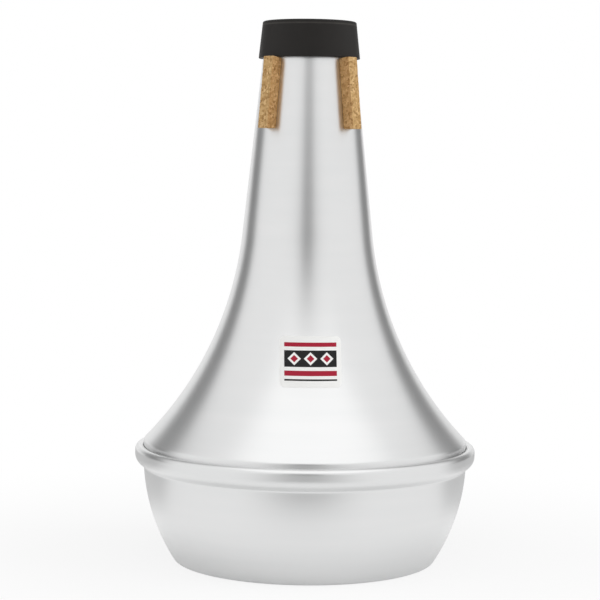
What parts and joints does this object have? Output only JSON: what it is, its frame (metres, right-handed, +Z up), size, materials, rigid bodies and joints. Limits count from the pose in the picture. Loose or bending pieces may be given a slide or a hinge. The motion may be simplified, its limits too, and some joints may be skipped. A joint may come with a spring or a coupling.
{
  "type": "euphonium straight mute",
  "caption": "Hollow spun aluminium mute: tapered neck flaring to a wide rim, shallow bowl base with a folded bead, rubber neck cap and cork strips.",
  "frame": {"origin": "on the mute's axis, in the plane of its flat base", "axes": "+Z up the axis from the base to the open neck; -Y to the front, midway between two cork strips"},
  "size_m": [0.2436, 0.2436, 0.384],
  "materials": {
    "spun_aluminium": "lathe-spun satin, clear sealed",
    "black_rubber": "moulded, low sheen",
    "cork": "agglomerated cork, sanded"
  },
  "bodies": {
    "root": {"body_shell": "spun_aluminium", "base_pan": "spun_aluminium", "end_cap": "black_rubber", "cork_strip_1": "cork", "cork_strip_2": "cork", "cork_strip_3": "cork", "cork_strip_4": "cork"}
  },
  "joints": []
}
